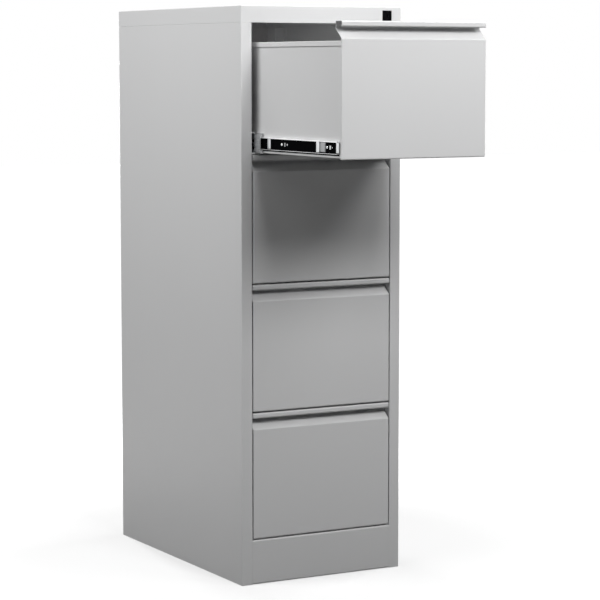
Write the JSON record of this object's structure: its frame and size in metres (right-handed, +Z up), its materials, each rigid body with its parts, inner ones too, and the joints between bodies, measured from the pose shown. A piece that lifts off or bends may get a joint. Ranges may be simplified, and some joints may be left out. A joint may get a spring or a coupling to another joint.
{
  "type": "card index cabinet",
  "caption": "Free-standing steel cabinet with a column of deep suspension drawers on ball slides, full-width lip pulls, a folded top cap and a central lock.",
  "frame": {"origin": "on the floor, at the centre of the carcass's footprint", "axes": "+X to the right of a person facing the drawers, -Y out of the front, the way the drawers open, +Z up"},
  "size_m": [0.42, 1.053, 1.321],
  "materials": {
    "grey_powder_coat": "fine textured satin powder coat, neutral light grey",
    "slide_steel": "bright zinc plated strip",
    "zinc_plate": "zinc plated",
    "screw_zinc": "zinc plated",
    "lock_black": "semi-gloss black",
    "lock_chrome": "polished",
    "guide_nylon": "natural nylon"
  },
  "bodies": {
    "cabinet": {"left_side_panel": "grey_powder_coat", "right_side_panel": "grey_powder_coat", "back_panel": "grey_powder_coat", "top_cap": "grey_powder_coat", "top_cross_channel": "grey_powder_coat", "plinth_panel": "grey_powder_coat", "base_pan": "grey_powder_coat", "floor_cross_bar": "grey_powder_coat", "front_left_post": "grey_powder_coat", "front_right_post": "grey_powder_coat", "rear_left_post": "grey_powder_coat", "rear_right_post": "grey_powder_coat", "lock_housing": "lock_black", "lock_rod_guides": "guide_nylon", "slide_screws": "screw_zinc", "drawer_1_left_cabinet_slide": "slide_steel", "drawer_1_right_cabinet_slide": "slide_steel", "drawer_2_left_cabinet_slide": "slide_steel", "drawer_2_right_cabinet_slide": "slide_steel", "drawer_3_left_cabinet_slide": "slide_steel", "drawer_3_right_cabinet_slide": "slide_steel", "drawer_4_left_cabinet_slide": "slide_steel", "drawer_4_right_cabinet_slide": "slide_steel"},
    "lock_plug": {"lock_plug": "lock_chrome", "lock_cam": "zinc_plate"},
    "lock_rod": {"lock_rod": "zinc_plate", "lock_rod_head": "zinc_plate", "lock_catches": "zinc_plate"},
    "drawer_1": {"drawer_1_front": "grey_powder_coat", "drawer_1_liner": "grey_powder_coat", "drawer_1_body": "grey_powder_coat", "drawer_1_lock_stud": "zinc_plate", "drawer_1_left_drawer_slide": "slide_steel", "drawer_1_right_drawer_slide": "slide_steel"},
    "middle_1": {"drawer_1_left_middle_slide": "slide_steel", "drawer_1_right_middle_slide": "slide_steel"},
    "drawer_2": {"drawer_2_front": "grey_powder_coat", "drawer_2_liner": "grey_powder_coat", "drawer_2_body": "grey_powder_coat", "drawer_2_lock_stud": "zinc_plate", "drawer_2_left_drawer_slide": "slide_steel", "drawer_2_right_drawer_slide": "slide_steel"},
    "middle_2": {"drawer_2_left_middle_slide": "slide_steel", "drawer_2_right_middle_slide": "slide_steel"},
    "drawer_3": {"drawer_3_front": "grey_powder_coat", "drawer_3_liner": "grey_powder_coat", "drawer_3_body": "grey_powder_coat", "drawer_3_lock_stud": "zinc_plate", "drawer_3_left_drawer_slide": "slide_steel", "drawer_3_right_drawer_slide": "slide_steel"},
    "middle_3": {"drawer_3_left_middle_slide": "slide_steel", "drawer_3_right_middle_slide": "slide_steel"},
    "drawer_4": {"drawer_4_front": "grey_powder_coat", "drawer_4_liner": "grey_powder_coat", "drawer_4_body": "grey_powder_coat", "drawer_4_lock_stud": "zinc_plate", "drawer_4_left_drawer_slide": "slide_steel", "drawer_4_right_drawer_slide": "slide_steel"},
    "middle_4": {"drawer_4_left_middle_slide": "slide_steel", "drawer_4_right_middle_slide": "slide_steel"}
  },
  "joints": [
    {"name": "drawer_1_travel", "type": "slide", "parent": "cabinet", "child": "drawer_1", "axis": [0, -1, 0], "range_m": [-0.398, 0.202]},
    {"name": "middle_1_travel", "type": "slide", "parent": "cabinet", "child": "middle_1", "axis": [0, -1, 0], "range_m": [-0.199, 0.101]},
    {"name": "drawer_2_travel", "type": "slide", "parent": "cabinet", "child": "drawer_2", "axis": [0, -1, 0], "range_m": [0, 0.6]},
    {"name": "middle_2_travel", "type": "slide", "parent": "cabinet", "child": "middle_2", "axis": [0, -1, 0], "range_m": [0, 0.3]},
    {"name": "drawer_3_travel", "type": "slide", "parent": "cabinet", "child": "drawer_3", "axis": [0, -1, 0], "range_m": [0, 0.6]},
    {"name": "middle_3_travel", "type": "slide", "parent": "cabinet", "child": "middle_3", "axis": [0, -1, 0], "range_m": [0, 0.3]},
    {"name": "drawer_4_travel", "type": "slide", "parent": "cabinet", "child": "drawer_4", "axis": [0, -1, 0], "range_m": [0, 0.6]},
    {"name": "middle_4_travel", "type": "slide", "parent": "cabinet", "child": "middle_4", "axis": [0, -1, 0], "range_m": [0, 0.3]},
    {"name": "rod_travel", "type": "slide", "parent": "cabinet", "child": "lock_rod", "axis": [0, 0, -1], "range_m": [0, 0.0198]},
    {"name": "plug_turn", "type": "hinge", "parent": "cabinet", "child": "lock_plug", "pos_m": [0.1715, -0.3275, 1.302], "axis": [0, 1, 0], "range_deg": [0, 90.01]}
  ],
  "couplings": [
    {"joint": "middle_1_travel", "follows": "drawer_1_travel", "ratio": 0.5},
    {"joint": "middle_2_travel", "follows": "drawer_2_travel", "ratio": 0.5},
    {"joint": "middle_3_travel", "follows": "drawer_3_travel", "ratio": 0.5},
    {"joint": "middle_4_travel", "follows": "drawer_4_travel", "ratio": 0.5},
    {"joint": "plug_turn", "follows": "rod_travel", "rad_per_m": 79.337}
  ]
}
